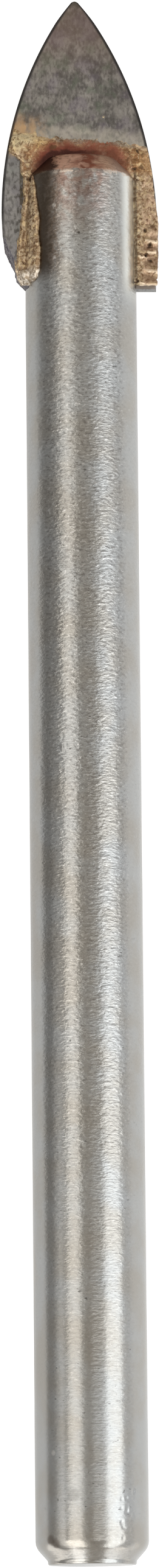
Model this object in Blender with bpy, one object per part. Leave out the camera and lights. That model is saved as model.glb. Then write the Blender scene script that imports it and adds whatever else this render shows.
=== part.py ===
"""Glass and tile drill bit, 8 mm.

A turned steel shank is slotted across its nose. A spear-shaped carbide plate is brazed into
the slot, and its two curved lips cut. Metres, +Z up. The bit lies along Y with its point
towards +Y. The origin is the centre of the flat end of the shank.
"""
import math

import bmesh
import bpy
from mathutils import Matrix, Vector

# Whole bit, in metres
overall_length = 0.0800
shank_diameter = 0.00568

# Turned ends of the shank
tail_chamfer_width = 0.00062
tail_chamfer_length = 0.00070
tail_land_length = 0.00020
tail_rounding = 0.00025
nose_chamfer_width = 0.00097
nose_chamfer_length = 0.00104
nose_rounding = 0.00035

# Carbide plate
blade_width = 0.00815
blade_thickness = 0.0016
blade_height = 0.01514
lip_radius = 0.0191
lip_relief_angle = math.radians(7.6)
side_taper = math.radians(2.0)
blade_lean = math.radians(0.54)

# Corner of the plate that has broken off, low on the -X side
chip_height = 0.00245
chip_width = 0.00110
chip_slant = 0.00015

# Slot in the nose, and the braze that fills it
slot_depth = 0.0068
slot_play = 0.00010
seat_gap = 0.00012
clearance = 0.00002

# Braze outside the slot
wash_height = 0.00125
wash_slope = 0.00055
wing_coat_width = 0.0013
coat_thickness = 0.00020
coat_margin = 0.00012
coat_rounding = 0.00007
crown_height = 0.00042
crown_proud = 0.00030
fillet_angle = math.radians(27.0)
fillet_width = 0.00066
fillet_proud = 0.00030
foot_setback = 0.00010

# Fineness of the round shapes. The shank's lowest flat is wider, because the bit lies on it
shank_sides = 26
flat_angle = math.radians(24.0)
arc_steps = 2
lip_steps = 14
coat_steps = 8
bead_rings = 16
bead_sides = 12

# Sizes that follow from those above
shank_radius = shank_diameter / 2
slot_width = blade_thickness + 2 * slot_play
blade_seat = overall_length - blade_height
slot_floor = blade_seat - seat_gap
nose_end = slot_floor + slot_depth
shoulder = nose_end - nose_chamfer_length
lip_relief = blade_thickness * math.tan(lip_relief_angle)
lip_offset = lip_radius - blade_width / 2


def clear_scene():
    for item in list(bpy.data.objects):
        bpy.data.objects.remove(item, do_unlink=True)


def material(name, colour, metallic, roughness):
    finish = bpy.data.materials.new(name)
    finish.use_nodes = True
    shader = finish.node_tree.nodes["Principled BSDF"]
    shader.inputs["Base Color"].default_value = (*colour, 1.0)
    shader.inputs["Metallic"].default_value = metallic
    shader.inputs["Roughness"].default_value = roughness
    return finish


def add_object(name, shape, finish=None):
    """Turn a bmesh into an object of the scene."""
    bmesh.ops.recalc_face_normals(shape, faces=shape.faces)
    mesh = bpy.data.meshes.new(name)
    shape.to_mesh(mesh)
    shape.free()
    item = bpy.data.objects.new(name, mesh)
    bpy.context.scene.collection.objects.link(item)
    if finish:
        mesh.materials.append(finish)
    return item


def as_cutter(item):
    item.hide_render = True
    item.display_type = "WIRE"
    return item


def boolean(item, operation, other):
    step = item.modifiers.new(other.name, "BOOLEAN")
    step.operation = operation
    step.solver = "EXACT"
    step.object = other


def shade_round(item, angle=30.0):
    item.data.shade_smooth()
    item.data.set_sharp_from_angle(angle=math.radians(angle))


def rounded_corner(before, corner, after, radius):
    """Points of an arc that rounds one corner of a profile, or the corner itself."""
    if radius == 0:
        return [corner]
    to_before = (before - corner).normalized()
    to_after = (after - corner).normalized()
    half = to_before.angle(to_after) / 2
    reach = radius / math.tan(half)
    reach = min(reach, 0.45 * (before - corner).length, 0.45 * (after - corner).length)
    radius = reach * math.tan(half)
    middle = corner + (to_before + to_after).normalized() * (radius / math.sin(half))
    start = corner + to_before * reach - middle
    turn = start.angle_signed(corner + to_after * reach - middle)
    points = []
    for step in range(arc_steps + 1):
        angle = -turn * step / arc_steps
        across = start.x * math.cos(angle) - start.y * math.sin(angle)
        along = start.x * math.sin(angle) + start.y * math.cos(angle)
        points.append(middle + Vector((across, along)))
    return points


def shank_profile(grow):
    """Half section of the shank, as radius and Y, from the tail to the nose."""
    radius = shank_radius + grow
    tail_radius = radius - tail_chamfer_width
    nose_radius = radius - nose_chamfer_width
    tail = -grow
    nose = nose_end + grow
    corners = [
        (Vector((0.0, tail)), 0.0),
        (Vector((tail_radius, tail)), tail_rounding / 2),
        (Vector((tail_radius, tail + tail_land_length)), tail_rounding),
        (Vector((radius, tail + tail_land_length + tail_chamfer_length)), tail_rounding * 2),
        (Vector((radius, slot_floor - shank_radius)), 0.0),
        (Vector((radius, nose - nose_chamfer_length)), nose_rounding * 2),
        (Vector((nose_radius, nose)), nose_rounding),
        (Vector((0.0, nose)), 0.0),
    ]
    points = []
    for index in range(1, len(corners) - 1):
        before = corners[index - 1][0]
        corner, radius_here = corners[index]
        after = corners[index + 1][0]
        points += rounded_corner(before, corner, after, radius_here)
    return points


def ring_corners():
    """Turn from straight down, and reach, of each corner between two flats of the shank."""
    step = 2 * (math.pi - flat_angle) / (shank_sides - 2)
    reach = 1 / math.cos(flat_angle / 2)
    corners = [(flat_angle / 2, reach)]
    for index in range(shank_sides - 2):
        corners.append((flat_angle + step * (index + 0.5), 1 / math.cos(step / 2)))
    corners.append((-flat_angle / 2, reach))
    return corners


def turned_rod(profile):
    """Turn a half section about Y. All flats lie at the true radius, and one faces down."""
    shape = bmesh.new()
    rings = []
    for point in profile:
        ring = []
        for angle, reach in ring_corners():
            out = point.x * reach
            ring.append(shape.verts.new((out * math.sin(angle), point.y, -out * math.cos(angle))))
        rings.append(ring)
    for ring, following in zip(rings, rings[1:]):
        for side in range(shank_sides):
            other = (side + 1) % shank_sides
            shape.faces.new((ring[side], ring[other], following[other], following[side]))
    shape.faces.new(rings[0])
    shape.faces.new(rings[-1])
    return shape


def block(low, high):
    shape = bmesh.new()
    bmesh.ops.create_cube(shape, size=1.0)
    for vert in shape.verts:
        for axis in range(3):
            vert.co[axis] = low[axis] if vert.co[axis] < 0 else high[axis]
    return shape


def slotted_shank(name, grow, finish=None):
    """The shank, or with grow a slightly larger copy that the braze keeps clear of."""
    rod = add_object(name, turned_rod(shank_profile(grow)), finish)
    half_slot = slot_width / 2 - grow
    reach = shank_radius * 1.5
    low = (-reach, slot_floor + grow, -half_slot)
    high = (reach, nose_end + reach, half_slot)
    slot = as_cutter(add_object(name + "_slot", block(low, high)))
    boolean(rod, "DIFFERENCE", slot)
    return rod


def lip_apex(left_relief, right_relief, grow):
    """Where the two lip arcs of one face cross: across, and above the widest place."""
    left = lip_radius - left_relief + grow
    right = lip_radius - right_relief + grow
    across = (right ** 2 - left ** 2) / (4 * lip_offset)
    return across, math.sqrt(left ** 2 - (across - lip_offset) ** 2)


def widest_height():
    """Height above the plate's foot at which its straight sides turn into lips."""
    return blade_height - lip_apex(0.0, lip_relief, 0.0)[1]


def edge_across(height, relief):
    """Distance from the middle of the plate to its long edge, at a height above its foot."""
    above = height - widest_height()
    if above < 0:
        return blade_width / 2 - relief + above * math.tan(side_taper)
    return math.sqrt((lip_radius - relief) ** 2 - above ** 2) - lip_offset


def side_and_lip(relief, apex_across, grow):
    """One long edge of a face as distances out and up, from its foot to the point."""
    widest = widest_height()
    radius = lip_radius - relief + grow
    foot = edge_across(0.0, relief) + grow * (1 - math.tan(side_taper))
    points = [(foot, -grow)]
    last = math.acos((apex_across + lip_offset) / radius)
    for step in range(lip_steps):
        angle = last * step / lip_steps
        points.append((radius * math.cos(angle) - lip_offset, widest + radius * math.sin(angle)))
    return points


def blade_face(left_relief, right_relief, grow):
    """Outline of one face of the plate, from its foot up the +X side and down the other."""
    apex_across, apex_height = lip_apex(left_relief, right_relief, grow)
    right = side_and_lip(right_relief, apex_across, grow)
    left = side_and_lip(left_relief, -apex_across, grow)
    points = right + [(apex_across, widest_height() + apex_height)]
    points += [(-out, up) for out, up in reversed(left)]
    return points


def prism(front, back, half):
    """A closed solid between two outlines with as many points, at Z of +half and -half."""
    shape = bmesh.new()
    front_verts = [shape.verts.new((x, y, half)) for x, y in front]
    back_verts = [shape.verts.new((x, y, -half)) for x, y in back]
    shape.faces.new(front_verts)
    shape.faces.new(list(reversed(back_verts)))
    count = len(front_verts)
    for index in range(count):
        following = (index + 1) % count
        shape.faces.new((front_verts[index], back_verts[index],
                         back_verts[following], front_verts[following]))
    return shape


def in_plate_frame(item, turn=0.0):
    """Place something that was drawn on the plate, which leans a little in its slot."""
    lean = Matrix.Rotation(blade_lean, 4, "Z")
    item.matrix_world = Matrix.Translation((0, blade_seat, 0)) @ lean @ Matrix.Rotation(turn, 4, "Y")
    return item


def spear_plate(name, grow, finish=None):
    """The plate. Each lip leads on one face and falls back to its relief on the other."""
    front = blade_face(0.0, lip_relief, grow)
    back = blade_face(lip_relief, 0.0, grow)
    shape = prism(front, back, blade_thickness / 2 + grow)
    return in_plate_frame(add_object(name, shape, finish))


def broken_corner():
    """The lump that has broken off: a rough slanting fracture, with room outside it."""
    steps = [(1.0, 0.0), (0.75, 0.10), (0.52, 0.28), (0.50, 0.47), (0.24, 0.74), (0.08, 0.88)]
    outside = -blade_width
    outlines = []
    for slant in (0.0, chip_slant):
        wide = chip_width + slant
        high = chip_height + slant
        edge = -edge_across(0.0, 0.0)
        inner = [(edge + wide * inward, high * upward) for inward, upward in steps]
        inner.append((-edge_across(high, 0.0), high))
        below = (inner[0][0], -blade_thickness)
        top = (outside, high)
        outlines.append([(outside, -blade_thickness), below] + inner + [top])
    lump = add_object("broken_corner", prism(outlines[0], outlines[1], blade_thickness))
    return as_cutter(in_plate_frame(lump))


def lumps(share, phase):
    """A gentle, uneven swelling along a bead, about 1."""
    return 1 + 0.10 * math.sin(11 * share + phase) + 0.07 * math.sin(23 * share + 2 * phase)


def bead(name, path, across, out, half_across, half_out, phase):
    """A closed bead of braze: rings of an ellipse along a path, drawn in at both ends."""
    shape = bmesh.new()
    rings = []
    for index in range(bead_rings + 1):
        share = index / bead_rings
        taper = max(1 - abs(2 * share - 1) ** 5, 0.06) ** 0.5
        swell = taper * lumps(share, phase)
        ring = []
        for side in range(bead_sides):
            angle = 2 * math.pi * side / bead_sides
            place = path(share)
            place = place + across * (half_across * swell * math.cos(angle))
            place = place + out * (half_out * swell * math.sin(angle))
            ring.append(shape.verts.new(place))
        rings.append(ring)
    for ring, following in zip(rings, rings[1:]):
        for side in range(bead_sides):
            other = (side + 1) % bead_sides
            shape.faces.new((ring[side], ring[other], following[other], following[side]))
    shape.faces.new(list(reversed(rings[0])))
    shape.faces.new(rings[-1])
    return as_cutter(add_object(name, shape))


def crown_bead(name, turn):
    """Bead over the nose, against the face of the plate."""
    side_edge = math.sqrt(shank_radius ** 2 - (blade_thickness / 2) ** 2)

    def path(share):
        side = 2 * share - 1
        height = nose_end - nose_chamfer_length * 0.85 * abs(side) ** 3
        return Vector((turn * side * side_edge, height, turn * blade_thickness / 2))

    return bead(name, path, Vector((0, 1, 0)), Vector((0, 0, turn)), crown_height, crown_proud, 3.1)


def fillet_bead(name, turn):
    """Bead in the corner between the bare wing of the plate and the cheek of the shank."""
    radial = Vector((-math.cos(fillet_angle), 0, math.sin(fillet_angle))) * turn
    tangent = Vector((math.sin(fillet_angle), 0, math.cos(fillet_angle))) * turn
    foot = blade_seat + foot_setback

    def path(share):
        return radial * shank_radius + Vector((0, foot + (shoulder - foot) * share, 0))

    return bead(name, path, tangent, radial, fillet_width, fillet_proud, 0.4)


def coat(name, turn):
    """Sheet of braze on one face of the plate: over one wing, and above the nose."""
    foot = foot_setback
    low = shoulder - blade_seat
    high = nose_end + wash_height - blade_seat
    outline = []
    for step in range(coat_steps + 1):
        height = foot + (high - foot) * step / coat_steps
        outline.append((edge_across(height, lip_relief) - coat_margin, height))
    for step in range(coat_steps // 2 + 1):
        height = high + wash_slope - wing_coat_width * step / (coat_steps // 2)
        outline.append((coat_margin - edge_across(height, 0.0), height))
    wing = edge_across(low, 0.0) - shank_radius
    outline.append((-shank_radius - 0.25 * wing, low + nose_chamfer_length))
    outline.append((-shank_radius - 0.10 * wing, low - nose_chamfer_length))
    outline.append((0.0, foot))
    bottom = blade_thickness / 2 - coat_thickness
    top = blade_thickness / 2 + coat_thickness
    shape = bmesh.new()
    flat = shape.faces.new([shape.verts.new((x, y, bottom)) for x, y in outline])
    raised = bmesh.ops.extrude_face_region(shape, geom=[flat])
    verts = [item for item in raised["geom"] if isinstance(item, bmesh.types.BMVert)]
    bmesh.ops.translate(shape, verts=verts, vec=(0, 0, top - bottom))
    rim = [edge for edge in shape.edges if all(vert in verts for vert in edge.verts)]
    bmesh.ops.bevel(shape, geom=rim, offset=coat_rounding, segments=2, profile=0.5,
                    affect="EDGES")
    half_turn = 0.0 if turn > 0 else math.pi
    return as_cutter(in_plate_frame(add_object(name, shape), half_turn))


def braze_film():
    """The layer that fills the slot. The room around the shank and the plate is cut from it."""
    half = slot_width / 2
    side_edge = math.sqrt(shank_radius ** 2 - half ** 2)
    return block((-side_edge, slot_floor, -half), (side_edge, nose_end, half))


def build():
    clear_scene()
    steel = material("shank_steel", (0.46, 0.45, 0.43), 1.0, 0.38)
    carbide = material("tip_carbide", (0.17, 0.165, 0.16), 0.75, 0.55)
    filler = material("braze_metal", (0.56, 0.38, 0.17), 0.7, 0.55)

    shank = slotted_shank("shank", 0.0, steel)
    shade_round(shank)
    plate = spear_plate("carbide_tip", 0.0, carbide)
    shade_round(plate)

    corner = broken_corner()
    boolean(plate, "DIFFERENCE", corner)

    braze = add_object("braze", braze_film(), filler)
    for face, turn in (("front", 1), ("back", -1)):
        boolean(braze, "UNION", coat("coat_" + face, turn))
        boolean(braze, "UNION", crown_bead("crown_" + face, turn))
        boolean(braze, "UNION", fillet_bead("fillet_" + face, turn))
    boolean(braze, "DIFFERENCE", corner)
    boolean(braze, "DIFFERENCE", as_cutter(slotted_shank("shank_room", clearance)))
    boolean(braze, "DIFFERENCE", as_cutter(spear_plate("plate_room", clearance)))
    shade_round(braze, 50.0)


build()
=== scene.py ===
"""Looks of the glass and tile drill bit.

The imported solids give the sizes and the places. The bit lies along Y with its point towards
+Y, and the camera looks down on it. Metres, +Z up.
"""
import math
import random

import bmesh
import bpy
from mathutils import Matrix, Vector, noise


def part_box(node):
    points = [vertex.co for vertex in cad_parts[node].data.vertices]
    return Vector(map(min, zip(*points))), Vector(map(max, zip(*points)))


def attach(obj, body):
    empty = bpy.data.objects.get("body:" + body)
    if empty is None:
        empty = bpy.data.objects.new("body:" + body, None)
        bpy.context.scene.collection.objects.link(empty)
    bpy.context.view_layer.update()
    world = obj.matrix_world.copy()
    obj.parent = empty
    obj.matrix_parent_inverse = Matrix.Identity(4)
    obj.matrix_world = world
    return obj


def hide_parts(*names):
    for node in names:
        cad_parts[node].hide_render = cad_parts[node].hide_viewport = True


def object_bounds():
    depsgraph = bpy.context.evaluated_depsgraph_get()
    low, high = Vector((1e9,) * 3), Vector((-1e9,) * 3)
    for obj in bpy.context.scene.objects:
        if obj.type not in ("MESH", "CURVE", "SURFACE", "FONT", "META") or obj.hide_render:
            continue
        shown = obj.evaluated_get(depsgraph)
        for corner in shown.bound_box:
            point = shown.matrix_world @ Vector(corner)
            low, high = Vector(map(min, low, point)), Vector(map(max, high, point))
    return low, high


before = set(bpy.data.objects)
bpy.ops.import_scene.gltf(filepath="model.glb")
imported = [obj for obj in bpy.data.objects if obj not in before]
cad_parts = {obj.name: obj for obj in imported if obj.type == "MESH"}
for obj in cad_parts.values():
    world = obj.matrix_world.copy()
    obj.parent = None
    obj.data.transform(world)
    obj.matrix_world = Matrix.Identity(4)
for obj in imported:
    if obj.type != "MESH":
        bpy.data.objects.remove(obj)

solid_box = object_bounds()

# Sizes read from the solids
shank_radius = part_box("shank")[1].z
nose_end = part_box("shank")[1].y
blade_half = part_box("carbide_tip")[1].z
floor_level = solid_box[0].z

# Sizes of the turned ends and of the slot, as in the solids
tail_chamfer_width = 0.00062
tail_chamfer_length = 0.00070
tail_land_length = 0.00020
tail_rounding = 0.00025
tail_shoulder_rounding = 0.00080
nose_chamfer_width = 0.00097
nose_chamfer_length = 0.00104
nose_rounding = 0.00035
slot_half = 0.00090
slot_depth = 0.0068
seat_gap = 0.00012

# Surface of the shank: waves left by turning, pits near the tail, grain near the nose
turning_waves = 0.0000025
broad_waves = 0.000004
pit_count = 18
pitted_until = 0.0045
blast_grain = 0.000007
blasted_from = 0.0640
blasted_fully = 0.0670

# Places along the bit
shoulder = nose_end - nose_chamfer_length
slot_floor = nose_end - slot_depth
blade_seat = slot_floor + seat_gap

# Sizes of the carbide plate, as in the solids
blade_width = 0.00815
blade_height = 0.01514
lip_radius = 0.0191
lip_relief = 2 * blade_half * math.tan(math.radians(7.6))
side_taper = math.radians(2.0)
blade_lean = math.radians(0.54)
lip_offset = lip_radius - blade_width / 2
hone = 0.00006

# Wear that has shortened and blunted the point
wear_reach = 0.00148
wear_share = 0.12
wear_ease = 0.0003
blunt_reach = 0.00026

# Corner of the plate that has broken off
chip_height = 0.00245
chip_width = 0.00120
chip_slant = 0.00003
chip_roughness = 0.00007

# Line of the break, as shares of its height and of its width, from the plate's foot upwards
chip_line = ((-0.02, 1.10), (0.05, 0.94), (0.13, 0.76), (0.22, 0.60), (0.34, 0.53), (0.48, 0.48),
             (0.62, 0.33), (0.77, 0.20), (0.90, 0.09), (1.04, -0.05))

# Braze outside the slot
coat_top = 0.00790
coat_top_slope = 0.075
coat_thickness = 0.00016
coat_feather = 0.00085
coat_left_rise = 0.00026
coat_right_fall = 0.00012
coat_foot = 0.00003
coat_beyond = 0.0010
coat_root = 0.00022
left_margin = 0.00010
right_margin = 0.00002
overhang = 0.00015
overhang_fade = (0.0026, 0.0050)
crown_height = 0.00036
crown_proud = 0.00020
crown_droop = 0.85
fillet_angle = math.radians(26.5)
fillet_width = 0.00066
fillet_proud = 0.00026
fillet_foot = 0.00012
drop_place = (-0.00275, 0.06535, 0.00095)
drop_radii = (0.00046, 0.00040, 0.00036)
film_gap = 0.00002
rib_height = 0.00012
rib_width = 0.00012
lump_height = 0.000034
knob_height = 0.000024
hole_drop = 0.00010
warp_reach = 0.00013
warp_seed = 5

# Ribs of braze on the lower right wing: along the bit, and where they start and end across it
ribs = ((0.06722, 0.00325, 0.00385), (0.06668, 0.00335, 0.00375), (0.06640, 0.00290, 0.00330),
        (0.06570, 0.00300, 0.00395), (0.06502, 0.00295, 0.00400))

# Distance from the middle at which the braze ends on the left wing, by height on the plate
wing_edge = ((0.0, 0.00300), (0.0004, 0.00322), (0.0012, 0.00336), (0.0024, 0.00330),
             (0.0032, 0.00312), (0.0044, 0.00296), (0.0056, 0.00298), (0.0065, 0.00310),
             (0.0070, 0.00360), (0.0073, 0.00400), (0.0076, 0.00460))

# Holes in the braze: across, along the bit, and radius
holes = ((0.00292, 0.07186, 0.00012), (0.00273, 0.07097, 0.00013), (0.00290, 0.07033, 0.00010),
         (0.00345, 0.06694, 0.00019), (0.00336, 0.06640, 0.00013), (0.00350, 0.06622, 0.00013),
         (0.00325, 0.06775, 0.00012), (0.00279, 0.06510, 0.00012), (0.00386, 0.06520, 0.00013),
         (0.00392, 0.06640, 0.00012), (-0.00268, 0.07030, 0.00011), (-0.00262, 0.06910, 0.00010),
         (-0.00275, 0.06850, 0.00009), (-0.00225, 0.06705, 0.00015), (-0.00300, 0.06600, 0.00012),
         (-0.00246, 0.07069, 0.00012))

# Spots on the shank: degrees from straight up towards +X, along the bit, size, share and colour
shank_spots = ((-52, 0.0012, 0.00034, 0.45, (84, 62, 46)), (-45, 0.0010, 0.00034, 0.45, (84, 62, 46)),
               (-24, 0.0034, 0.00045, 0.30, (92, 88, 84)), (-6.7, 0.0672, 0.00010, 0.8, (70, 62, 58)),
               (-33, 0.0687, 0.00015, 0.6, (210, 204, 196)),
               (-33, 0.0660, 0.00013, 0.5, (204, 198, 194)),
               (-47, 0.0055, 0.00018, 0.6, (214, 212, 208)))

# Fineness
shank_sides = 240
pitted_ring = 0.00008
blasted_ring = 0.00010
plain_ring = 0.00040
lip_steps = 60
voxel = 0.00005

# Camera and lights
view_from_left = math.radians(5.0)
view_from_tail = math.radians(8.0)
view_roll = math.radians(0.517)
view_distance = 0.37419
lens = 169.8
long_sensor = 36.0
aim = Vector((-0.00030, 0.039334, 0.0))
light_distance = 0.45


def srgb(red, green, blue):
    """A colour as it looks on a screen, 0 to 255, turned into linear light."""
    return tuple(((level / 255 + 0.055) / 1.055) ** 2.4 for level in (red, green, blue)) + (1.0,)


def smooth_step(value, low, high):
    share = min(max((value - low) / (high - low), 0.0), 1.0)
    return share * share * (3 - 2 * share)


def along(stops, place):
    """The value at a place between stops, each a place and its value."""
    for (start, first), (end, second) in zip(stops, stops[1:]):
        if place <= end:
            share = max((place - start) / (end - start), 0.0)
            return first + (second - first) * share
    return stops[-1][1]


def new_object(name, data):
    item = bpy.data.objects.new(name, data)
    bpy.context.scene.collection.objects.link(item)
    return item


def add_piece(name, mesh, finish, node):
    """Show a mesh in place of a solid."""
    mesh.materials.clear()
    mesh.materials.append(finish)
    piece = new_object(name, mesh)
    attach(piece, "root")
    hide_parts(node)
    return piece


def mesh_of(name, shape):
    """Turn a bmesh into a mesh with its faces pointing out."""
    bmesh.ops.recalc_face_normals(shape, faces=shape.faces)
    mesh = bpy.data.meshes.new(name)
    shape.to_mesh(mesh)
    shape.free()
    return mesh


def worked(mesh, steps):
    """Run modifiers over a mesh. Each step is a modifier's type and its settings."""
    item = new_object("workpiece", mesh)
    for kind, settings in steps:
        modifier = item.modifiers.new(kind.lower(), kind)
        for setting, value in settings.items():
            setattr(modifier, setting, value)
    graph = bpy.context.evaluated_depsgraph_get()
    made = bpy.data.meshes.new_from_object(item.evaluated_get(graph))
    bpy.data.objects.remove(item)
    return made


def cut(mesh, cutter):
    """Take one closed mesh away from another."""
    tool = new_object("cutter", cutter)
    made = worked(mesh, [("BOOLEAN", {"operation": "DIFFERENCE", "solver": "EXACT", "object": tool})])
    bpy.data.objects.remove(tool)
    return made


def shade_round(mesh, angle):
    mesh.shade_smooth()
    mesh.set_sharp_from_angle(angle=math.radians(angle))


def box_mesh(low, high):
    shape = bmesh.new()
    bmesh.ops.create_cube(shape, size=1.0)
    for vert in shape.verts:
        for axis in range(3):
            vert.co[axis] = low[axis] if vert.co[axis] < 0 else high[axis]
    return mesh_of("block", shape)


def join_rings(shape, rings):
    """Faces between closed rings of vertices that follow one another."""
    for ring, following in zip(rings, rings[1:]):
        for index in range(len(ring)):
            other = (index + 1) % len(ring)
            shape.faces.new((ring[index], ring[other], following[other], following[index]))


def plate_frame(turn=0.0):
    """From the plate's own frame to the bit's: the plate leans a little in its slot."""
    lean = Matrix.Rotation(blade_lean, 4, "Z")
    return Matrix.Translation((0, blade_seat, 0)) @ lean @ Matrix.Rotation(turn, 4, "Y")


# Shank

def rounded_corner(before, corner, after, radius, arc_steps=6):
    """Points of an arc that rounds one corner of a profile."""
    to_before = (before - corner).normalized()
    to_after = (after - corner).normalized()
    half = to_before.angle(to_after) / 2
    reach = radius / math.tan(half)
    reach = min(reach, 0.45 * (before - corner).length, 0.45 * (after - corner).length)
    radius = reach * math.tan(half)
    middle = corner + (to_before + to_after).normalized() * (radius / math.sin(half))
    start = corner + to_before * reach - middle
    turn = start.angle_signed(corner + to_after * reach - middle)
    points = []
    for step in range(arc_steps + 1):
        angle = -turn * step / arc_steps
        across = start.x * math.cos(angle) - start.y * math.sin(angle)
        along_axis = start.x * math.sin(angle) + start.y * math.cos(angle)
        points.append(middle + Vector((across, along_axis)))
    return points


def shank_profile():
    """Half section of the shank, as radius and Y, from the tail to the nose."""
    tail_radius = shank_radius - tail_chamfer_width
    nose_radius = shank_radius - nose_chamfer_width
    corners = [
        (Vector((0.0, 0.0)), 0.0),
        (Vector((tail_radius, 0.0)), tail_rounding / 2),
        (Vector((tail_radius, tail_land_length)), tail_rounding),
        (Vector((shank_radius, tail_land_length + tail_chamfer_length)), tail_shoulder_rounding),
        (Vector((shank_radius, shoulder)), nose_rounding),
        (Vector((nose_radius, nose_end)), nose_rounding),
        (Vector((0.0, nose_end)), 0.0),
    ]
    points = []
    for (before, _), (corner, radius), (after, _) in zip(corners, corners[1:], corners[2:]):
        points += rounded_corner(before, corner, after, radius)
    return points


def ring_gap(place):
    """Distance between rings of the fine shank: small where pits and the nose are."""
    if place < pitted_until:
        return pitted_ring
    if place > blasted_from:
        return blasted_ring
    return plain_ring


def dense(points):
    """The profile with rings added along its straight runs."""
    filled = [points[0]]
    for point in points[1:]:
        run = point - filled[-1]
        while run.length > 1.5 * ring_gap(filled[-1].y):
            filled.append(filled[-1] + run.normalized() * ring_gap(filled[-1].y))
            run = point - filled[-1]
        filled.append(point)
    return filled


def tail_pits():
    """Places and sizes of the small pits near the tail, on the right of the camera's side."""
    draw = random.Random(11)
    pits = []
    for _ in range(pit_count):
        angle = math.radians(draw.uniform(25, 42))
        place = Vector((shank_radius * math.sin(angle), draw.uniform(0.0012, 0.0036),
                        shank_radius * math.cos(angle)))
        pits.append((place, draw.uniform(0.00008, 0.00015), draw.uniform(0.00002, 0.00004)))
    return pits


def unevenness(place, pits):
    """How far the turned surface stands out at a place: waviness and dents, less the pits."""
    turned = noise.noise(Vector((place.x * 150, place.y * 1100, place.z * 150)))
    broad = noise.noise(place * 500)
    height = turning_waves * turned + broad_waves * broad
    if place.y > blasted_from:
        blasted = noise.noise(Vector((place.x * 2200, place.y * 4400, place.z * 2200)))
        height += blast_grain * smooth_step(place.y, blasted_from, blasted_fully) * blasted
    for centre, radius, depth in pits:
        share = (place - centre).length / radius
        if share < 1:
            height -= depth * (1 - share * share) ** 2
    return height


def shank_mesh():
    """The slotted shank, turned finely, with slight tool marks."""
    profile = dense(shank_profile())
    pits = tail_pits()
    shape = bmesh.new()
    rings = []
    for point in profile:
        near = [pit for pit in pits if abs(pit[0].y - point.y) < 0.0003]
        ring = []
        for side in range(shank_sides):
            angle = 2 * math.pi * side / shank_sides
            out = Vector((math.sin(angle), 0, math.cos(angle)))
            place = out * point.x + Vector((0, point.y, 0))
            ring.append(shape.verts.new(place + out * unevenness(place, near)))
        rings.append(ring)
    join_rings(shape, rings)
    shape.faces.new(rings[0])
    shape.faces.new(rings[-1])
    reach = 2 * shank_radius
    slot = box_mesh((-reach, slot_floor, -slot_half), (reach, nose_end + reach, slot_half))
    mesh = cut(mesh_of("shank_turned", shape), slot)
    shade_round(mesh, 32)
    return mesh


# Carbide plate

def lip_apex(left_relief, right_relief):
    """Where the two lip arcs of one face cross: across, and above the widest place."""
    left = lip_radius - left_relief
    right = lip_radius - right_relief
    across = (right ** 2 - left ** 2) / (4 * lip_offset)
    return across, math.sqrt(left ** 2 - (across - lip_offset) ** 2)


def widest_height():
    """Height above the plate's foot at which its straight sides turn into lips."""
    return blade_height - lip_apex(0.0, lip_relief)[1]


def edge_across(height, relief):
    """Distance from the middle of the plate to its long edge, at a height above its foot."""
    above = height - widest_height()
    if above < 0:
        return blade_width / 2 - relief + above * math.tan(side_taper)
    return math.sqrt((lip_radius - relief) ** 2 - above ** 2) - lip_offset


def worn(up):
    """Where wear has left a place of a lip that was at a height above the plate's foot."""
    near = max(up - blade_height + wear_reach, 0.0)
    return up - wear_share * near * near / (near + wear_ease)


def side_and_lip(relief):
    """One long edge of a face as distances out and up, from its foot to the blunted point."""
    widest = widest_height()
    radius = lip_radius - relief
    points = [(edge_across(0.0, relief), 0.0)]
    last = math.asin((blade_height - blunt_reach - widest) / radius)
    for step in range(lip_steps + 1):
        angle = last * step / lip_steps
        points.append((radius * math.cos(angle) - lip_offset, worn(widest + radius * math.sin(angle))))
    return points


def blade_face(left_relief, right_relief):
    """Outline of one face of the plate, from its foot up the +X side and down the other."""
    apex = Vector((lip_apex(left_relief, right_relief)[0], worn(blade_height)))
    right = side_and_lip(right_relief)
    left = [(-out, up) for out, up in reversed(side_and_lip(left_relief))]
    blunt = []
    for step in range(1, 8):
        share = step / 8
        start = Vector(right[-1]).lerp(apex, share)
        blunt.append(tuple(start.lerp(apex.lerp(Vector(left[0]), share), share)))
    return right + blunt + left


def prism(front, back, half):
    """A closed solid between two outlines with as many points, at Z of +half and -half."""
    shape = bmesh.new()
    front_verts = [shape.verts.new((x, y, half)) for x, y in front]
    back_verts = [shape.verts.new((x, y, -half)) for x, y in back]
    faces = [shape.faces.new(front_verts), shape.faces.new(list(reversed(back_verts)))]
    count = len(front_verts)
    for index in range(count):
        following = (index + 1) % count
        shape.faces.new((front_verts[index], back_verts[index],
                         back_verts[following], front_verts[following]))
    return shape, faces


def fracture_path(slant):
    """Line of the break on a plane of the plate, from its foot to its side."""
    wide = chip_width + slant
    high = chip_height + slant
    edge = -edge_across(0.0, 0.0)
    corners = [Vector((edge + wide * inward, high * upward, 0)) for upward, inward in chip_line]
    points = []
    for start, end in zip(corners, corners[1:]):
        for step in range(6):
            points.append(start.lerp(end, step / 6))
    points.append(corners[-1])
    return points


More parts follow.
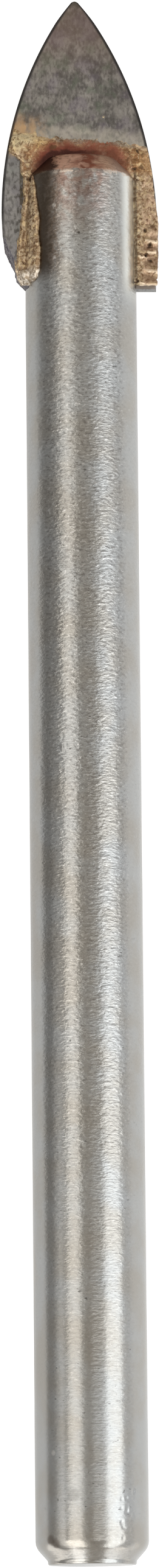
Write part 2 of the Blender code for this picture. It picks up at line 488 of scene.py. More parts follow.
def fracture_cutter():
    """The lump that has broken off. The break is a fine sheet with a rough, stepped surface."""
    layers = 22
    deep = 1.15 * blade_half
    outside = -blade_width
    shape = bmesh.new()
    grid = []
    for layer in range(layers + 1):
        share = 1 - 2 * layer / layers
        level = deep * share
        path = fracture_path(chip_slant * share)
        row = [shape.verts.new((outside, -blade_half, level))]
        row.append(shape.verts.new((path[0].x, -blade_half, level)))
        for point in path:
            place = Vector((point.x, point.y, level))
            rough = noise.fractal(place * 2600, 0.8, 2.0, 4)
            flake = noise.cell(Vector((place.y * 5200, place.z * 3300, 3.0))) - 0.5
            shift = chip_roughness * (rough + 0.35 * flake)
            row.append(shape.verts.new(place + Vector((-shift, shift * 0.6, 0))))
        row.append(shape.verts.new((outside, path[-1].y, level)))
        grid.append(row)
    join_rings(shape, grid)
    shape.faces.new(grid[0])
    shape.faces.new(grid[-1])
    bmesh.ops.triangulate(shape, faces=shape.faces)
    return mesh_of("fracture", shape)


def plate_mesh():
    """The plate with honed edges and the broken corner."""
    shape, faces = prism(blade_face(0.0, lip_relief), blade_face(lip_relief, 0.0), blade_half)
    rim = [edge for face in faces for edge in face.edges]
    bmesh.ops.bevel(shape, geom=rim, offset=hone, segments=2, profile=0.6, affect="EDGES")
    whole = mesh_of("tip_plate", shape)
    mesh = cut(whole, fracture_cutter())
    mesh.transform(plate_frame())
    shade_round(mesh, 28)
    return mesh


def mark_break(mesh, finish):
    """Give the faces of the break their own finish."""
    mesh.materials.append(finish)
    to_plate = plate_frame().inverted()
    edge = -edge_across(0.0, 0.0)
    for face in mesh.polygons:
        centre = to_plate @ face.center
        flat = abs(face.normal.z) > 0.9
        outer = face.normal.x < -0.98 or face.normal.y < -0.98
        near = centre.y < 1.04 * chip_height and centre.x < edge + 1.08 * chip_width
        face.material_index = int(near and not flat and not outer)


# Braze

def lumps(share, phase):
    """A gentle, uneven swelling along a bead, about 1."""
    return 1 + 0.10 * math.sin(11 * share + phase) + 0.07 * math.sin(23 * share + 2 * phase)


def add_bead(shape, path, across, out, half_across, half_out, end_share, phase):
    """A closed bead: rings of an ellipse along a path, drawn in at both ends."""
    count = 60
    sides = 32
    rings = []
    for index in range(count + 1):
        share = index / count
        taper = max(1 - abs(2 * share - 1) ** 5, 0.03) ** 0.5
        taper *= 1 - (1 - end_share) * smooth_step(share, 0.35, 0.90)
        swell = taper * lumps(share, phase)
        ring = []
        for side in range(sides):
            angle = 2 * math.pi * side / sides
            place = path(share) + across * (half_across * swell * math.cos(angle))
            ring.append(shape.verts.new(place + out * (half_out * swell * math.sin(angle))))
        rings.append(ring)
    join_rings(shape, rings)
    shape.faces.new(list(reversed(rings[0])))
    shape.faces.new(rings[-1])


def crown_path(turn):
    side_edge = math.sqrt(shank_radius ** 2 - blade_half ** 2)

    def path(share):
        side = 2 * share - 1
        height = nose_end - nose_chamfer_length * crown_droop * abs(side) ** 3
        return Vector((turn * side * side_edge, height, turn * blade_half))

    return path


def fillet_path(radial):
    foot = blade_seat + fillet_foot

    def path(share):
        return radial * shank_radius + Vector((0, foot + (shoulder - foot) * share, 0))

    return path


def add_drop(shape, turn):
    """A round drop of metal at the foot of the fillet."""
    across, along_axis, up = drop_place
    place = Matrix.Translation((across * turn, along_axis, up * turn))
    spot = place @ Matrix.Diagonal((*drop_radii, 1.0))
    bmesh.ops.create_uvsphere(shape, u_segments=32, v_segments=20, radius=1.0, matrix=spot)


def coat_height(across, up, phase):
    """Thickness of the sheet of braze over the plate's face. Below zero it is bare."""
    wobble = noise.fractal(Vector((across * 900, up * 900, phase)), 0.7, 2.0, 3)
    fine = noise.noise(Vector((across * 3500, up * 3500, phase + 5)))
    top = coat_top - coat_top_slope * across + 0.00014 * wobble + 0.00003 * fine
    left_rise = coat_left_rise * smooth_step(-across, 0.0022, 0.0035)
    top += left_rise - coat_right_fall * smooth_step(across, 0.0026, 0.0035)
    below_top = smooth_step(top - up, 0.0, coat_feather)
    beyond = -across - along(wing_edge, up) + 0.00008 * wobble + 0.00005 * fine
    bare_wing = smooth_step(beyond, -0.00015, 0.00004)
    height = coat_thickness * (1.25 * below_top - 0.25) * (1 + 0.25 * wobble)
    return height - (height + 0.00005) * bare_wing


def grid_rim(grid):
    """The vertices round the edge of a grid."""
    right = [row[-1] for row in grid[1:]]
    left = [row[0] for row in grid[-2:0:-1]]
    return grid[0] + right + grid[-1][-2::-1] + left


def add_coat(shape, turn, phase):
    """The sheet of braze: its top follows coat_height, and the rest lies inside the plate."""
    across_steps = 150
    up_steps = 170
    frame_turn = plate_frame(0.0 if turn > 0 else math.pi)
    low = blade_half - coat_root
    last = coat_top + coat_beyond
    tops = []
    bottoms = []
    for row in range(up_steps + 1):
        up = coat_foot + (last - coat_foot) * row / up_steps
        left = max(left_margin - edge_across(up, 0.0), -along(wing_edge, up) - left_margin)
        right = edge_across(up, lip_relief) - right_margin
        if turn > 0:
            right += overhang * (1 - smooth_step(up, *overhang_fade))
        else:
            broken = (chip_width + chip_slant) * max(along(chip_line, up / chip_height), 0.0)
            right = min(right, edge_across(0.0, 0.0) - broken - left_margin)
        top_row = []
        bottom_row = []
        for column in range(across_steps + 1):
            across = left + (right - left) * column / across_steps
            thick = coat_height(across, up, phase)
            rim = min(column, across_steps - column, row) / 2
            thick -= 0.5 * max(thick, 0.0) * (1 - min(rim, 1.0)) ** 2
            top_row.append(shape.verts.new(frame_turn @ Vector((across, up, blade_half + thick))))
            bottom_row.append(shape.verts.new(frame_turn @ Vector((across, up, low))))
        tops.append(top_row)
        bottoms.append(bottom_row)
    for grid in (tops, bottoms):
        for row, following in zip(grid, grid[1:]):
            for index in range(across_steps):
                shape.faces.new((row[index], row[index + 1], following[index + 1], following[index]))
    join_rings(shape, (grid_rim(tops), grid_rim(bottoms)))


def hole_depth(place, turn, warp):
    """Depth, from 0 to 1, of the holes in the braze at a place."""
    deepest = 0.0
    for across, along_axis, radius in holes:
        away = Vector((place.x * turn - across, place.y - along_axis, 0)) + warp
        share = away.length / radius
        if share < 1:
            depth = 1.0 if across > 0 else 0.55
            deepest = max(deepest, depth * (1 - share * share) ** 0.8)
    return deepest


def rib_at(side, along_axis):
    """How far a place lies on a rib of the coated wing, and how far in the furrow beside one."""
    crest = 0.0
    for rib, start, end in ribs:
        slanted = along_axis + 0.15 * (side - start)
        begun = smooth_step(side, start - 0.0002, start + 0.0001)
        unended = smooth_step(-side, -end - 0.0001, -end)
        crest = max(crest, begun * unended * math.exp(-((slanted - rib) / rib_width) ** 2))
    wing = smooth_step(side, 0.0029, 0.0033)
    below_top = 1 - smooth_step(along_axis, ribs[0][0] + rib_width, ribs[0][0] + 5 * rib_width)
    return crest, wing * below_top * max(1 - 1.8 * crest, 0.0)


def roughen(mesh, turn, phase):
    """Lumps, knobs, ribs and holes, and values on each vertex that say where they are."""
    hollow_shade = mesh.attributes.new("hollow_shade", "FLOAT", "POINT")
    crest_highlight = mesh.attributes.new("crest_highlight", "FLOAT", "POINT")
    moves = []
    # Without a seed noise_vector differs from run to run
    noise.seed_set(warp_seed)
    for vert in mesh.vertices:
        place = vert.co
        shifted = place + Vector((0, 0, phase))
        lump = noise.fractal(shifted * 1300, 0.6, 2.0, 3)
        warp = noise.noise_vector(shifted * 4500) * warp_reach
        knobs = noise.fractal((shifted + warp) * 3600, 0.7, 2.0, 3)
        hole = hole_depth(place, turn, warp)
        crest, furrow = rib_at(place.x * turn, place.y + 0.00010 * lump)
        crest *= 0.85 + 0.5 * lump
        height = lump_height * lump + knob_height * knobs - hole_drop * hole
        upright = max(vert.normal.z * turn, 0.0)
        ribbed = rib_height * (crest - 0.35 * furrow) * upright
        valley = smooth_step(-knobs, 0.20, 0.75)
        hollow_shade.data[vert.index].value = max(hole, 0.45 * valley, 0.32 * furrow)
        crest_highlight.data[vert.index].value = crest
        moves.append(vert.normal * height + Vector((0, 0, turn * ribbed)))
    for vert, move in zip(mesh.vertices, moves):
        vert.co += move


def braze_mesh(name, turn, phase):
    """All the braze on one face: the sheet, the bead over the nose, the fillet and its drop."""
    shape = bmesh.new()
    add_coat(shape, turn, phase)
    add_bead(shape, crown_path(turn), Vector((0, 1, 0)), Vector((0, 0, turn)),
             crown_height, crown_proud, 1.0, 3.1 + phase)
    radial = Vector((-math.cos(fillet_angle), 0, math.sin(fillet_angle))) * turn
    tangent = Vector((math.sin(fillet_angle), 0, math.cos(fillet_angle))) * turn
    add_bead(shape, fillet_path(radial), tangent, radial,
             fillet_width, fillet_proud, 0.5, 0.4 + phase)
    add_drop(shape, turn)
    mesh = mesh_of(name, shape)
    mesh = worked(mesh, [
        ("REMESH", {"mode": "VOXEL", "voxel_size": voxel, "adaptivity": 0.0}),
        ("SMOOTH", {"factor": 0.5, "iterations": 2}),
    ])
    roughen(mesh, turn, phase)
    mesh.shade_smooth()
    return mesh


def film_mesh():
    """The thin layer between the slot and the plate."""
    side_edge = math.sqrt(shank_radius ** 2 - slot_half ** 2)
    block = box_mesh((-side_edge, slot_floor + film_gap, film_gap - slot_half),
                     (side_edge, nose_end, slot_half - film_gap))
    tall = box_mesh((-blade_width, 0, -blade_half), (blade_width, blade_height, blade_half))
    tall.transform(plate_frame())
    return cut(block, tall)


# Finishes

class Nodes:
    """The nodes of a material or a world, added and joined by short calls."""

    def __init__(self, owner):
        owner.use_nodes = True
        self.nodes = owner.node_tree.nodes
        self.links = owner.node_tree.links

    def feed(self, node, inputs):
        """Link or set the inputs of a node, each from a socket or a value."""
        for key, value in inputs.items():
            if isinstance(value, bpy.types.NodeSocket):
                self.links.new(value, node.inputs[key])
            else:
                node.inputs[key].default_value = value

    def node(self, kind, inputs=None, **options):
        made = self.nodes.new(kind)
        for option, value in options.items():
            setattr(made, option, value)
        self.feed(made, inputs or {})
        return made

    def math(self, operation, *values):
        return self.node("ShaderNodeMath", dict(enumerate(values)), operation=operation).outputs[0]

    def times(self, *values):
        product = values[0]
        for value in values[1:]:
            product = self.math("MULTIPLY", product, value)
        return product

    def plus(self, value, factor, base):
        """A value times a factor, added to a base."""
        return self.math("MULTIPLY_ADD", value, factor, base)

    def apart(self, value, place):
        """How far a value is from a place."""
        return self.math("ABSOLUTE", self.math("SUBTRACT", value, place))

    def hypot(self, first, second):
        return self.math("SQRT", self.math("MULTIPLY_ADD", first, first, self.times(second, second)))

    def ramp(self, value, low, high, from_value=0.0, to_value=1.0):
        """A smooth change from one value to another as the input goes from low to high."""
        inputs = {"Value": value, "From Min": low, "From Max": high,
                  "To Min": from_value, "To Max": to_value}
        made = self.node("ShaderNodeMapRange", inputs, interpolation_type="SMOOTHSTEP")
        return made.outputs["Result"]

    def band(self, value, low, inner_low, inner_high, high):
        """1 between the inner limits, falling smoothly to 0 at the outer ones."""
        return self.times(self.ramp(value, low, inner_low), self.ramp(value, high, inner_high))


class Finish(Nodes):
    """A material whose colour is built up in thin layers."""

    def __init__(self, name):
        self.material = bpy.data.materials.new(name)
        super().__init__(self.material)
        self.shader = self.nodes["Principled BSDF"]
        self.colour = (0, 0, 0, 1)
        self.place = self.node("ShaderNodeTexCoord").outputs["Object"]
        split = self.node("ShaderNodeSeparateXYZ", {0: self.place})
        self.x, self.y, self.z = split.outputs

    def ramp_y(self, low, high, *values):
        return self.ramp(self.y, low, high, *values)

    def across(self):
        """Place across the bit, towards the wing that is coated, alike on both faces."""
        return self.times(self.x, self.math("SIGN", self.z))

    def noise(self, size, detail, stretch=(1, 1, 1), distortion=0.0):
        scale = tuple(1 / (size * length) for length in stretch)
        scaled = self.node("ShaderNodeVectorMath", {0: self.place, 1: scale}, operation="MULTIPLY")
        inputs = {"Vector": scaled.outputs[0], "Scale": 1.0, "Detail": detail,
                  "Distortion": distortion}
        return self.node("ShaderNodeTexNoise", inputs).outputs["Fac"]

    def spot(self, place, size):
        """One soft round spot, 1 in its middle and 0 beyond its size."""
        away = self.node("ShaderNodeVectorMath", {0: self.place, 1: place}, operation="DISTANCE")
        return self.ramp(away.outputs["Value"], size, 0.4 * size)

    def mix(self, share, first, second):
        made = self.node("ShaderNodeMix", {0: share, 6: first, 7: second}, data_type="RGBA")
        return made.outputs[2]

    def tint(self, levels, *shares):
        """Lay a screen colour over the layers below, by the product of shares from 0 to 1."""
        self.colour = self.mix(self.times(*shares), self.colour, srgb(*levels))

    def bump(self, height, depth, below=None):
        inputs = {"Height": height, "Distance": depth}
        if below is not None:
            inputs["Normal"] = below
        return self.node("ShaderNodeBump", inputs).outputs["Normal"]

    def finish(self, roughness, metallic, normal):
        self.feed(self.shader, {"Base Color": self.colour, "Roughness": roughness,
                                "Metallic": metallic, "Normal": normal})
        return self.material

    def glow(self, colour, strength):
        """A dull surface that shines, but isn't sampled as a light."""
        self.feed(self.shader, {"Base Color": self.colour, "Roughness": 1.0,
                                "Specular IOR Level": 0.0, "Emission Color": colour,
                                "Emission Strength": strength})
        self.material.cycles.emission_sampling = "NONE"
        return self.material


def on_cylinder(degrees, along_axis):
    """A place on the shank, by its angle from straight up towards +X."""
    angle = math.radians(degrees)
    return shank_radius * math.sin(angle), along_axis, shank_radius * math.cos(angle)


def steel_finish():
    """Turned steel: blasted and dull near the nose, brighter towards the tail, with painted glints and
    a painted light band.
    """
    steel = Finish("turned_steel")
    blotch = steel.noise(0.0021, 3)
    speckle = steel.noise(0.00011, 3, stretch=(2.2, 1, 2.2))
    flecks = steel.noise(0.00018, 5, stretch=(1.8, 1, 1.8))
    glints_and_dull_grain = steel.noise(0.00012, 4, stretch=(1.5, 1, 1.5))
    lines = steel.noise(0.00006, 2, stretch=(14, 1, 14))
    ragged = steel.noise(0.00030, 4, distortion=0.8)
    mottle = steel.noise(0.00045, 3, distortion=0.4)
    side = steel.across()
    inner = steel.times(steel.ramp(side, 0.0021, 0.0016, 0.2, 1.0),
                        steel.ramp(side, -0.0024, -0.0019, 0.2, 1.0))
    blasted = steel.times(inner, steel.ramp_y(0.004, 0.062, 0.25, 1.0))
    steel.colour = steel.mix(steel.ramp(blotch, 0.35, 0.65),
                             srgb(166, 163, 157), srgb(171, 172, 171))
    steel.tint((104, 100, 98), steel.ramp(speckle, 0.48, 0.68), blasted, 0.42)
    dark = steel.ramp(flecks, 0.64, 0.74)
    steel.tint((66, 62, 58), dark, steel.ramp(blotch, 0.44, 0.56), inner, 0.7)
    # Pale specks are painted glints; the grey specks after them are the steel's own dull grains.
    steel.tint((222, 220, 218), steel.ramp(glints_and_dull_grain, 0.58, 0.68), blasted, 0.5)
    steel.tint((112, 106, 102), steel.ramp(glints_and_dull_grain, 0.44, 0.34), blasted, 0.5)
    # Painted light: a pale band on the right of the shank near the nose.
    light_band = steel.ramp(side, 0.0018, 0.0023)
    steel.tint((232, 234, 229), light_band, steel.ramp_y(0.0635, 0.0655), 0.85)
    nose_tints(steel, ragged, mottle, side)
    for degrees, along_axis, size, share, levels in shank_spots:
        spot = steel.spot(on_cylinder(degrees, along_axis), size)
        steel.tint(levels, spot, share)
    rough = steel.plus(steel.ramp_y(0.040, 0.068), 0.10, 0.18)
    rough = steel.plus(blotch, 0.10, rough)
    rough = steel.plus(steel.ramp_y(shoulder, shoulder + 0.0002), 0.15, rough)
    coarse = steel.ramp_y(0.002, 0.030, 0.22, 0.9)
    grain = steel.times(steel.plus(flecks, 0.9, speckle), coarse, steel.plus(inner, 0.6, 0.4))
    normal = steel.bump(grain, 0.000026)
    normal = steel.bump(lines, 0.000003, normal)
    return steel.finish(rough, 1.0, normal)


def nose_tints(steel, ragged, mottle, side):
    """Heat tints and flux stains on the chamfer of the nose and on the shank below it, with painted
    shade by the fillet and a painted highlight under the chamfer.
    """
    wavy = steel.plus(ragged, 0.0010, steel.plus(side, 1.0, -0.0005))
    pink = steel.times(steel.ramp_y(0.0668, 0.0702), steel.ramp(mottle, 0.28, 0.64),
                       steel.band(side, -0.0019, -0.0012, 0.0005, 0.0017), 0.75)
    steel.tint((142, 110, 96), pink)
    steel.tint((84, 66, 60), pink, steel.ramp(ragged, 0.52, 0.66), 0.7)
    # Darker brown beside the left fillet: partly flux stain, partly painted shade.
    stain_and_shade = steel.times(steel.ramp(wavy, -0.0010, -0.0017), steel.ramp_y(0.0645, 0.0662),
                        steel.ramp(mottle, 0.25, 0.50, 0.7, 1.0), 0.85)
    steel.tint((112, 96, 82), stain_and_shade)
    # Painted shade: a dark line in the crease between the shank and the fillet.
    crease_shade = steel.times(steel.ramp(wavy, -0.00155, -0.00200),
                         steel.ramp_y(0.0648, 0.0656), 0.6)
    steel.tint((66, 56, 44), crease_shade)
    edge = steel.plus(ragged, 0.0004, steel.y)
    bevel = steel.ramp(edge, shoulder + 0.00014, shoulder + 0.00030)
    red = steel.times(steel.ramp(steel.apart(side, 0.0002), 0.0012, 0.0002),
                      steel.ramp(mottle, 0.26, 0.60))
    pale = steel.mix(steel.ramp(side, -0.0004, 0.0006), srgb(222, 178, 154), srgb(184, 148, 122))
    brown = steel.mix(red, pale, srgb(134, 76, 55))
    brown = steel.mix(steel.ramp(side, 0.0012, 0.0019), brown, srgb(182, 158, 142))
    brown = steel.mix(steel.ramp(ragged, 0.52, 0.66, 0.0, 0.4), brown, srgb(110, 74, 58))
    # Painted shade: the chamfer turns nearly black towards its left end.
    brown = steel.mix(steel.ramp(wavy, -0.00120, -0.00160), brown, srgb(62, 36, 30))
    steel.colour = steel.mix(steel.times(bevel, 0.92), steel.colour, brown)
    # Painted highlight: a pale ragged line along the lower edge of the chamfer.
    highlight_line = steel.times(steel.ramp(steel.apart(edge, shoulder + 0.00018), 0.00013, 0.00004),
                       steel.ramp(ragged, 0.42, 0.56), steel.ramp(side, -0.0018, -0.0014), 0.8)
    steel.tint((206, 192, 178), highlight_line)


def lip_distance(plate):
    """Distance in from the nearer lip of either face."""
    rise = plate.math("SUBTRACT", plate.y, blade_seat)
    leant = plate.plus(plate.x, math.cos(blade_lean), plate.times(rise, math.sin(blade_lean)))
    height = plate.plus(plate.x, -math.sin(blade_lean), plate.times(rise, math.cos(blade_lean)))
    above = plate.math("SUBTRACT", height, widest_height())
    side = plate.times(leant, plate.math("SIGN", plate.z))
    left = plate.hypot(plate.math("SUBTRACT", side, lip_offset), above)
    right = plate.hypot(plate.math("ADD", side, lip_offset), above)
    return plate.math("MINIMUM", plate.math("SUBTRACT", lip_radius, left),
                      plate.math("SUBTRACT", lip_radius - lip_relief, right))


def carbide_finish():
    """Ground carbide: dull dark grey, with painted shade along its lips and by the left fillet,
    stained above the braze.
    """
    plate = Finish("ground_carbide")
    marks = plate.noise(0.00012, 4, stretch=(1, 1.8, 1))
    mottle = plate.noise(0.00060, 5)
    hue = plate.noise(0.0011, 3)
    patches = plate.noise(0.00026, 4, stretch=(1, 1.6, 1))
    dirt = plate.noise(0.00017, 5, stretch=(1, 1.6, 1))
    side = plate.across()
    plate.colour = plate.mix(plate.ramp(mottle, 0.35, 0.65),
                             srgb(106, 102, 98), srgb(138, 133, 127))
    plate.tint((82, 78, 74), plate.ramp(marks, 0.48, 0.68, 0.0, 0.6))
    plate.tint((162, 158, 152), plate.ramp(marks, 0.46, 0.32, 0.0, 0.4))
    plate.tint((122, 110, 128), plate.ramp(hue, 0.52, 0.64, 0.0, 0.25))
    plate.tint((106, 120, 98), plate.ramp(hue, 0.46, 0.35, 0.0, 0.30))
    plate.tint((134, 110, 98), plate.ramp_y(0.0752, 0.0785, 0.0, 0.45))
    dulled = plate.ramp(plate.plus(marks, 0.0004, plate.y), 0.0794, 0.0799, 0.0, 0.6)
    plate.tint((74, 76, 66), dulled)
    wing = plate.ramp_y(0.0722, 0.0714)
    plate.tint((166, 165, 164), wing, 0.45)
    grimy = plate.times(wing, plate.ramp(dirt, 0.46, 0.66),
                        plate.ramp(side, -0.0038, -0.0031, 0.6, 1.0), 0.8)
    plate.tint((70, 66, 60), grimy)
    over = plate.math("SUBTRACT", plate.plus(mottle, -0.0008, plate.y), coat_edge(plate, side))
    above_nose = plate.ramp_y(0.0714, 0.0720)
    wash = plate.times(plate.ramp(over, 0.0002, -0.0004), above_nose,
                       plate.ramp(patches, 0.62, 0.42, 0.35, 0.65))
    plate.tint((184, 176, 163), wash)
    wavy = plate.plus(patches, 0.0014, plate.plus(side, 1.0, -0.0007))
    stain = plate.times(plate.ramp(over, 0.0007, -0.0003), above_nose,
                        plate.ramp(wavy, -0.0015, -0.0031),
                        plate.ramp(patches, 0.66, 0.44, 0.35, 1.0), 0.85)
    plate.tint((194, 157, 114), stain)
    # Painted shadow: a dark line on the left wing along the edge of the fillet.
    shadow_line = plate.times(plate.ramp(plate.apart(side, -0.00306), 0.00016, 0.00006),
                        plate.band(plate.y, 0.0676, 0.0690, 0.0714, 0.0718),
                        plate.ramp(patches, 0.62, 0.46), 0.8)
    plate.tint((74, 64, 46), shadow_line)
    # Painted shade: a dark line along the lips, towards the point.
    rim = plate.ramp(plate.plus(marks, 0.00006, lip_distance(plate)), 0.00021, 0.00010)
    plate.tint((44, 42, 42), rim, plate.ramp_y(0.0664, 0.0690), 0.9)
    foot = plate.times(plate.ramp_y(blade_seat + 0.00016, blade_seat + 0.00008),
                       plate.ramp(side, 0.0020, 0.0026), 0.8)
    plate.tint((112, 92, 72), foot)
    normal = plate.bump(marks, 0.000010)
    normal = plate.bump(plate.noise(0.00005, 2), 0.000004, normal)
    rough = plate.ramp(mottle, 0.3, 0.7, 0.42, 0.55)
    return plate.finish(rough, 0.85, normal)


def fracture_finish():
    """Broken carbide: darker, grainy and sparkling."""
    broken = Finish("broken_carbide")
    grains = broken.noise(0.00007, 5)
    lumps_and_dips = broken.noise(0.00032, 3)
    broken.colour = broken.mix(broken.ramp(lumps_and_dips, 0.36, 0.64),
                               srgb(70, 64, 72), srgb(112, 106, 110))
    broken.tint((160, 154, 158), broken.ramp(grains, 0.54, 0.68, 0.0, 0.7))
    broken.tint((46, 42, 48), broken.ramp(grains, 0.46, 0.34, 0.0, 0.7))
    normal = broken.bump(grains, 0.00005)
    return broken.finish(0.45, 0.8, normal)


def coat_edge(finish, side):
    """Place along the bit of the sheet's upper edge, without its waves."""
    return finish.plus(side, -coat_top_slope, blade_seat + coat_top)


def band_tints(braze, patch, side):
    """Gold at the left of the band over the nose, dull tan in its middle, brown at its right."""
    high = braze.ramp_y(0.0717, 0.0721)
    gold = braze.times(high, braze.ramp(side, -0.0009, -0.0017))
    braze.tint((220, 184, 126), gold, 0.75)
    pale = braze.ramp(side, -0.0022, -0.0027)
    braze.tint((208, 200, 168), gold, pale, braze.ramp_y(0.0729, 0.0726), 0.6)
    ochre = braze.band(braze.y, 0.0705, 0.0709, 0.0718, 0.0721)
    braze.tint((164, 124, 78), ochre, braze.ramp(side, 0.0024, 0.0028), 0.75)
    braze.tint((142, 116, 92), high, braze.band(side, -0.0015, -0.0009, 0.0016, 0.0021), 0.75)
    orange = braze.times(braze.band(braze.y, 0.0706, 0.0709, 0.0720, 0.0724),
                         braze.band(braze.apart(side, 0.0), 0.0012, 0.0016, 0.0028, 0.0032),
                         braze.ramp(patch, 0.36, 0.54), 0.8)
    braze.tint((156, 108, 70), orange)
    below = braze.math("SUBTRACT", coat_edge(braze, side), braze.plus(patch, 0.0006, braze.y))
    faded = braze.ramp(below, 0.00030, 0.0)
    braze.tint((150, 142, 127), faded, braze.ramp(side, -0.0022, -0.0010, 0.3, 0.95))
    # Painted highlight: a cream streak slanting across the right of the band.
    run = braze.apart(braze.plus(side, 0.46, braze.y), 0.07350)
    highlight_streak = braze.times(braze.ramp(run, 0.00016, 0.00006),
                         braze.band(side, 0.0017, 0.0021, 0.0031, 0.0035), 0.8)
    braze.tint((226, 194, 158), highlight_streak)


def seam_tints(braze, patch, side):
    """Rust red where the braze comes near the nose of the shank, nearly black at the seam, partly
    painted shade.
    """
    out = braze.math("SUBTRACT", braze.hypot(braze.x, braze.z), shank_radius - nose_chamfer_width)
    drop = braze.times(braze.math("MAXIMUM", out, 0.0), nose_chamfer_length / nose_chamfer_width)
    away = braze.math("SUBTRACT", braze.math("ADD", braze.y, drop), nose_end)
    away = braze.plus(patch, 0.0005, braze.math("SUBTRACT", away, 0.00025))
    inner = braze.times(braze.ramp(braze.apart(side, 0.0), 0.0028, 0.0019),
                        braze.ramp_y(0.0700, 0.0706))
    rust = braze.times(braze.ramp(away, 0.00115, 0.00060), inner,
                       braze.ramp(patch, 0.62, 0.40, 0.6, 0.95))
    braze.tint((150, 94, 72), rust)
    deep = braze.times(braze.ramp(away, 0.00080, 0.00042),
                       braze.ramp(side, 0.0012, -0.0004, 0.4, 0.9), inner)
    braze.tint((116, 58, 43), deep)
    # Nearly black at the seam, darkest on the left: partly oxide, partly painted shade.
    oxide_and_shade = braze.times(braze.ramp(away, 0.00044, 0.00024),
                        braze.ramp(side, 0.0012, -0.0004, 0.3, 0.9), inner)
    braze.tint((62, 28, 20), oxide_and_shade)


def braze_finish():
    """Braze as it froze: mottled khaki, tan and brown, with painted shade in holes and by the shank,
    and painted highlights.
    """
    braze = Finish("raw_braze")
    hollow_shade = braze.node("ShaderNodeAttribute", attribute_name="hollow_shade").outputs["Fac"]
    crest_highlight = braze.node("ShaderNodeAttribute", attribute_name="crest_highlight").outputs["Fac"]
    patch = braze.noise(0.00048, 4, distortion=0.5)
    blot = braze.noise(0.00024, 3, distortion=0.6)
    grain = braze.noise(0.00016, 4, distortion=0.7)
    fine = braze.noise(0.00009, 3)
    side = braze.across()
    braze.colour = braze.mix(braze.ramp(grain, 0.34, 0.62),
                             srgb(146, 120, 92), srgb(204, 184, 154))
    braze.tint((136, 104, 74), braze.ramp(patch, 0.56, 0.44, 0.0, 0.5))
    wing = braze.ramp(side, 0.0030, 0.0032)
    braze.tint((204, 168, 142), wing, braze.ramp(patch, 0.40, 0.60), 0.6)
    band_tints(braze, patch, side)
    spotted = braze.ramp(side, 0.0028, 0.0032, 1.0, 0.6)
    braze.tint((116, 82, 46), braze.ramp(blot, 0.52, 0.61), spotted, 0.6)
    braze.tint((230, 204, 156), braze.ramp(blot, 0.46, 0.38), spotted, 0.5)
    # Painted highlights on the crests of the ribs.
    braze.tint((244, 222, 194), braze.ramp(crest_highlight, 0.35, 0.8), 0.8)
    braze.tint((108, 80, 54), braze.ramp(grain, 0.46, 0.28, 0.0, 0.85))
    # Painted highlights: pale fine flecks over the braze.
    braze.tint((236, 218, 188), braze.ramp(fine, 0.58, 0.72, 0.0, 0.40))
    seam_tints(braze, patch, side)
    # Painted shade: a dark line where the braze on the coated wing meets the shank's edge.
    groove_shade = braze.times(braze.ramp(braze.apart(side, 0.00276), 0.00010, 0.00004),
                         braze.ramp_y(0.0712, 0.0706), 0.6)
    braze.tint((70, 60, 46), groove_shade)
    # Painted shade in the holes, in the dips between knobs and in the furrows beside the ribs.
    braze.tint((96, 68, 44), braze.ramp(hollow_shade, 0.10, 0.45, 0.0, 0.75))
    braze.tint((56, 42, 30), braze.ramp(hollow_shade, 0.50, 0.95))
    rim = braze.ramp(side, 0.00394, 0.00404)
    braze.tint((62, 54, 42), rim, braze.ramp(patch, 0.44, 0.54), 0.8)
    foot = braze.times(braze.ramp(braze.plus(patch, 0.0006, braze.y), 0.0661, 0.0655),
                       braze.ramp(side, -0.0019, -0.0022))
    whitish = braze.mix(braze.ramp(grain, 0.40, 0.60), srgb(152, 136, 116), srgb(226, 216, 202))
    braze.colour = braze.mix(foot, braze.colour, whitish)
    rough = braze.ramp(fine, 0.3, 0.7, 0.34, 0.58)
    normal = braze.bump(grain, 0.000020)
    normal = braze.bump(fine, 0.000008, normal)
    return braze.finish(rough, 0.65, normal)


# Studio

def floor_finish():
    """A pale floor that camera and reflections see as white, with the bit's soft shadow."""
    pale = Finish("pale_floor")
    pale.colour = (0.35, 0.35, 0.35, 1)
    path = pale.node("ShaderNodeLightPath")
    seen = pale.math("MAXIMUM", path.outputs["Is Camera Ray"], path.outputs["Is Transmission Ray"])
    strength = pale.plus(path.outputs["Is Glossy Ray"],
                         pale.ramp(pale.x, -0.002, 0.002, 0.54, 0.72), pale.times(seen, 0.80))
    return pale.glow((1, 1, 1, 1), strength)


def add_floor():
    shape = bmesh.new()
    bmesh.ops.create_grid(shape, x_segments=1, y_segments=1, size=6.0)
    mesh = mesh_of("floor", shape)
    mesh.materials.append(floor_finish())
    floor = new_object("floor", mesh)
    floor.location = (0, 0, floor_level)


def add_card(name, low, high, card, strength):
    """A board that only reflections see. Its strength is a number or a socket of its finish."""
    board = box_mesh(low, high)
    board.materials.append(card.glow((1.0, 0.98, 0.95, 1), strength))
    item = new_object(name, board)
    for ray in ("camera", "diffuse", "shadow", "transmission"):
        setattr(item, "visible_" + ray, False)


def add_cards():
    """A dim board along the left of the bit for its dark band, and bright ones beyond its tail."""
    dim = Finish("dim_board")
    low = dim.ramp_y(0.030, 0.0, 0.30, 0.42)
    high = dim.math("ADD", dim.ramp_y(0.056, 0.008, 0.37, 1.10),
                    dim.ramp_y(0.006, 0.001, 0.0, 0.5))
    share = dim.ramp(dim.z, 0.0020, 0.0105)
    strength = dim.plus(share, dim.math("SUBTRACT", high, low), low)
    add_card("left_board", (-0.0180, -0.20, floor_level), (-0.0170, 0.35, 0.0110), dim, strength)
    sheet = floor_level + 0.0005
    for name, start, end, glow in (("left", -0.028, -0.0062, 1.3), ("right", 0.0100, 0.032, 1.0)):
        add_card("tail_board_" + name, (start, -0.0310, floor_level), (end, -0.0300, 0.0105),
                 Finish("tail_board_" + name), 2.0 * glow)
        add_card("tail_sheet_" + name, (start, -0.0295, floor_level), (end, -0.0030, sheet),
                 Finish("tail_sheet_" + name), 1.4 * glow)


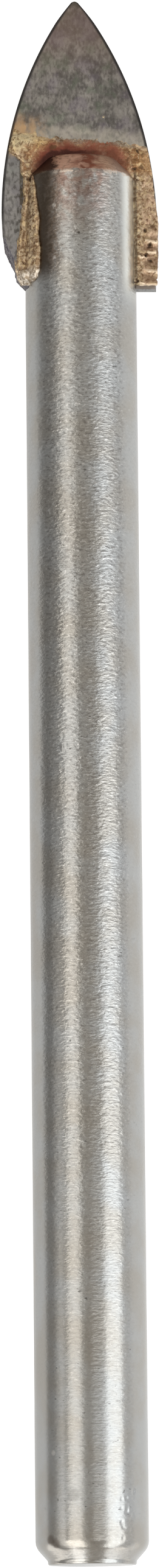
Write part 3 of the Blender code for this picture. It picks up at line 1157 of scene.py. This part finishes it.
def add_panel(name, angles, reach, brightness, tint):
    """A long soft light beside the camera. Angles go round the bit, from +Z towards +X."""
    middle = math.radians(sum(angles) / 2)
    width = 2 * light_distance * math.tan(math.radians((angles[1] - angles[0]) / 2))
    length = reach[1] - reach[0]
    light = bpy.data.lights.new(name, "AREA")
    light.shape = "RECTANGLE"
    light.size = width
    light.size_y = length
    light.color = tint
    light.energy = brightness * math.pi * width * length
    panel = new_object(name, light)
    panel.location = (light_distance * math.sin(middle), sum(reach) / 2,
                      light_distance * math.cos(middle))
    panel.rotation_euler = (0, middle, 0)
    panel.visible_camera = False


def add_lights():
    warm = (1.0, 0.965, 0.91)
    cool = (0.965, 0.99, 1.0)
    add_panel("left_light", (-48, -24), (0.045, 0.60), 0.96, warm)
    add_panel("left_rear_light", (-54, -24), (-0.06, 0.045), 1.10, warm)
    add_panel("left_tail_light", (-66, -22), (-0.70, -0.06), 2.2, warm)
    for index, (start, end, brightness) in enumerate((
            (0.115, 0.135, 0.92), (0.095, 0.115, 1.05), (0.070, 0.095, 1.15),
            (0.045, 0.070, 1.38), (0.028, 0.045, 1.60), (-0.70, 0.028, 1.85))):
        add_panel("right_light_%d" % index, (26, 62), (start, end), brightness, cool)
    add_panel("middle_tail_light", (-1, 26), (-0.06, 0.022), 1.0, cool)


def add_world():
    """Plain studio surroundings: darker on the left and behind the camera, pale on the right."""
    stops = [(-90, (0.22, 0.22, 0.22)), (-70, (0.24, 0.24, 0.24)), (-58, (0.34, 0.33, 0.32)),
             (-48, (0.66, 0.64, 0.60)), (-30, (0.62, 0.60, 0.57)), (-18, (0.55, 0.53, 0.49)),
             (-8, (0.50, 0.46, 0.41)), (14, (0.50, 0.47, 0.43)), (24, (0.62, 0.61, 0.59)),
             (32, (0.80, 0.80, 0.80)), (62, (0.84, 0.85, 0.86)), (90, (1.00, 1.00, 1.00))]
    world = bpy.data.worlds.new("studio")
    sky = Nodes(world)
    direction = sky.node("ShaderNodeTexCoord").outputs["Generated"]
    split = sky.node("ShaderNodeSeparateXYZ", {0: direction})
    share = sky.node("ShaderNodeMapRange", {"Value": sky.math("ARCSINE", split.outputs["X"]),
                                            "From Min": -math.pi / 2, "From Max": math.pi / 2})
    ramp = sky.node("ShaderNodeValToRGB", {"Fac": share.outputs["Result"]})
    ramp.color_ramp.interpolation = "EASE"
    for degrees, colour in stops:
        if abs(degrees) == 90:
            stop = ramp.color_ramp.elements[0 if degrees < 0 else -1]
        else:
            stop = ramp.color_ramp.elements.new((degrees + 90) / 180)
        stop.color = (*colour, 1)
    strength = sky.ramp(split.outputs["Y"], -0.5, -0.95, 1.0, 1.1)
    sky.feed(sky.nodes["Background"], {"Color": ramp.outputs["Color"], "Strength": strength})
    bpy.context.scene.world = world


def add_camera():
    """The photograph's view: from above, a little from the left and from the tail."""
    back = Vector((-math.sin(view_from_left) * math.cos(view_from_tail), -math.sin(view_from_tail),
                   math.cos(view_from_left) * math.cos(view_from_tail)))
    up = Vector((0, 1, 0))
    right = up.cross(back).normalized()
    up = back.cross(right)
    data = bpy.data.cameras.new("camera")
    data.lens = lens
    data.sensor_width = long_sensor
    data.clip_start = 0.01
    data.clip_end = 20.0
    camera = new_object("camera", data)
    turn = Matrix((right, up, back)).transposed().to_4x4()
    roll = Matrix.Rotation(-view_roll, 4, "Z")
    camera.matrix_world = Matrix.Translation(aim + back * view_distance) @ turn @ roll
    bpy.context.scene.camera = camera


def add_bit():
    steel = steel_finish()
    carbide = carbide_finish()
    fractured = fracture_finish()
    filler = braze_finish()
    add_piece("shank_turned", shank_mesh(), steel, "shank")
    plate = add_piece("tip_plate", plate_mesh(), carbide, "carbide_tip")
    mark_break(plate.data, fractured)
    for name, turn, phase in (("braze_front", 1, 0.0), ("braze_back", -1, 2.7)):
        add_piece(name, braze_mesh(name, turn, phase), filler, "braze")
    add_piece("braze_film", film_mesh(), filler, "braze")


bpy.context.scene.view_settings.view_transform = "Standard"
add_floor()
add_cards()
add_world()
add_lights()
add_camera()
add_bit()
